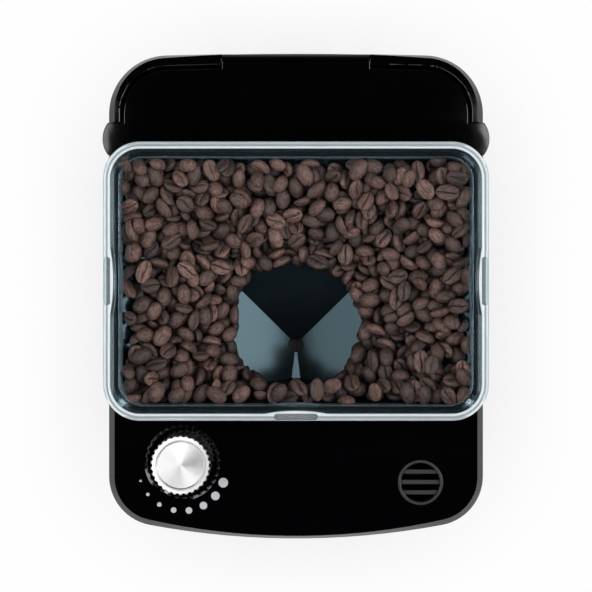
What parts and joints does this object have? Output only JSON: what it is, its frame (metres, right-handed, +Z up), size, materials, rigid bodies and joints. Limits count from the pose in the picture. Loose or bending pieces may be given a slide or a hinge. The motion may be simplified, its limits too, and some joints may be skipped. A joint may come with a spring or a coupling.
{
  "type": "burr coffee grinder",
  "caption": "Gloss black counter-top burr coffee grinder with an open clear bean hopper, a stepped grind dial, a hinged rear lid and a pull-out grounds bin.",
  "frame": {"origin": "on the counter, under the middle of the footprint", "axes": "+Z up, front with the bin and the dial towards -Y, hinged lid towards +Y, +X to the right seen from the front"},
  "size_m": [0.2168, 0.2734, 0.286],
  "materials": {
    "gloss_black": "moulded gloss black plastic, polished",
    "satin_black": "satin black moulded plastic",
    "funnel_black": "gloss black plastic with a blue cast",
    "vent_grey": "dark grey satin plastic",
    "smoke_clear": "clear plastic with a smoky blue tint, polished",
    "satin_silver": "satin silver, turned face",
    "scale_grey": "light grey inlay",
    "rubber": "black rubber",
    "steel": "machined steel",
    "burr_steel": "hardened ground steel",
    "black_steel": "blackened steel",
    "gear_nylon": "natural nylon",
    "case_grey": "grey glass-filled nylon",
    "magnet": "sintered ferrite",
    "board_green": "green lacquered circuit board",
    "component": "moulded component bodies",
    "brass": "bright brass"
  },
  "bodies": {
    "housing": {"base_plate": "satin_black", "rubber_feet": "rubber", "base_screws": "steel", "outer_shell": "gloss_black", "top_deck": "gloss_black", "deck_screws": "steel", "vent_grille": "vent_grey", "scale_dots": "scale_grey", "lid_hinge_pin": "steel", "rear_tub": "satin_black", "hopper_seal": "rubber", "idler_pin": "steel", "adjuster_plate": "steel", "shaft_bearings": "steel", "grind_chamber": "case_grey", "grounds_chute": "satin_black", "gear_case_lower": "case_grey", "gear_case_upper": "case_grey", "case_screws": "steel", "case_posts": "steel", "intermediate_axle": "steel", "motor_can": "steel", "motor_magnets": "magnet", "motor_end": "satin_black", "motor_damper": "rubber", "bin_bay": "satin_black", "start_switch": "component", "control_board": "board_green", "board_parts": "component", "power_inlet": "satin_black", "inlet_pins": "brass"},
    "lid": {"rear_lid": "gloss_black"},
    "bean_hopper": {"hopper": "smoke_clear", "bean_funnel": "funnel_black"},
    "dial": {"dial_knob": "satin_black", "dial_cap": "satin_silver", "dial_shaft": "steel", "dial_gear": "gear_nylon"},
    "idler": {"idler_gear": "gear_nylon"},
    "adjuster": {"burr_carrier": "satin_black", "ring_burr": "burr_steel"},
    "burr": {"cone_burr": "burr_steel", "burr_nut": "black_steel", "burr_shaft": "black_steel", "impeller": "gear_nylon", "burr_gear": "gear_nylon"},
    "intermediate": {"intermediate_gear": "gear_nylon"},
    "rotor": {"motor_rotor": "steel", "motor_shaft": "steel", "motor_pinion": "brass"},
    "button": {"start_button": "satin_black"},
    "bin": {"grounds_bin": "smoke_clear", "bin_front": "gloss_black"}
  },
  "joints": [
    {"name": "lid_hinge", "type": "hinge", "parent": "housing", "child": "lid", "pos_m": [0, 0.132, 0.2322], "axis": [-1, 0, 0], "range_deg": [0, 95]},
    {"name": "hopper_lift", "type": "slide", "parent": "housing", "child": "bean_hopper", "axis": [0, 0, 1], "range_m": [0, 0.06]},
    {"name": "adjuster_turn", "type": "hinge", "parent": "housing", "child": "adjuster", "pos_m": [0, -0.028, 0.176], "axis": [0, 0, 1], "range_deg": [0, 39.9]},
    {"name": "idler_turn", "type": "hinge", "parent": "housing", "child": "idler", "pos_m": [-0.03732, -0.07511, 0.176], "axis": [0, 0, 1], "range_deg": [-79.8, 0]},
    {"name": "dial_turn", "type": "hinge", "parent": "housing", "child": "dial", "pos_m": [-0.0637, -0.0934, 0.24], "axis": [0, 0, 1], "range_deg": [0, 133]},
    {"name": "burr_spin", "type": "hinge", "parent": "housing", "child": "burr", "pos_m": [0, -0.028, 0.165], "axis": [0, 0, 1], "continuous": true},
    {"name": "intermediate_spin", "type": "hinge", "parent": "housing", "child": "intermediate", "pos_m": [0.01487, 0.01299, 0.128], "axis": [0, 0, 1], "continuous": true},
    {"name": "motor_spin", "type": "hinge", "parent": "housing", "child": "rotor", "pos_m": [0, 0.042, 0.09], "axis": [0, 0, 1], "continuous": true},
    {"name": "button_press", "type": "slide", "parent": "housing", "child": "button", "axis": [0, 1, 0], "range_m": [0, 0.0025], "stiffness_N_per_m": 400},
    {"name": "bin_slide", "type": "slide", "parent": "housing", "child": "bin", "axis": [0, -1, 0], "range_m": [0, 0.125]}
  ],
  "couplings": [
    {"joint": "idler_turn", "follows": "adjuster_turn", "ratio": -2},
    {"joint": "dial_turn", "follows": "adjuster_turn", "ratio": 3.3333},
    {"joint": "intermediate_spin", "follows": "burr_spin", "ratio": -3.1429},
    {"joint": "motor_spin", "follows": "burr_spin", "ratio": 10.476}
  ]
}
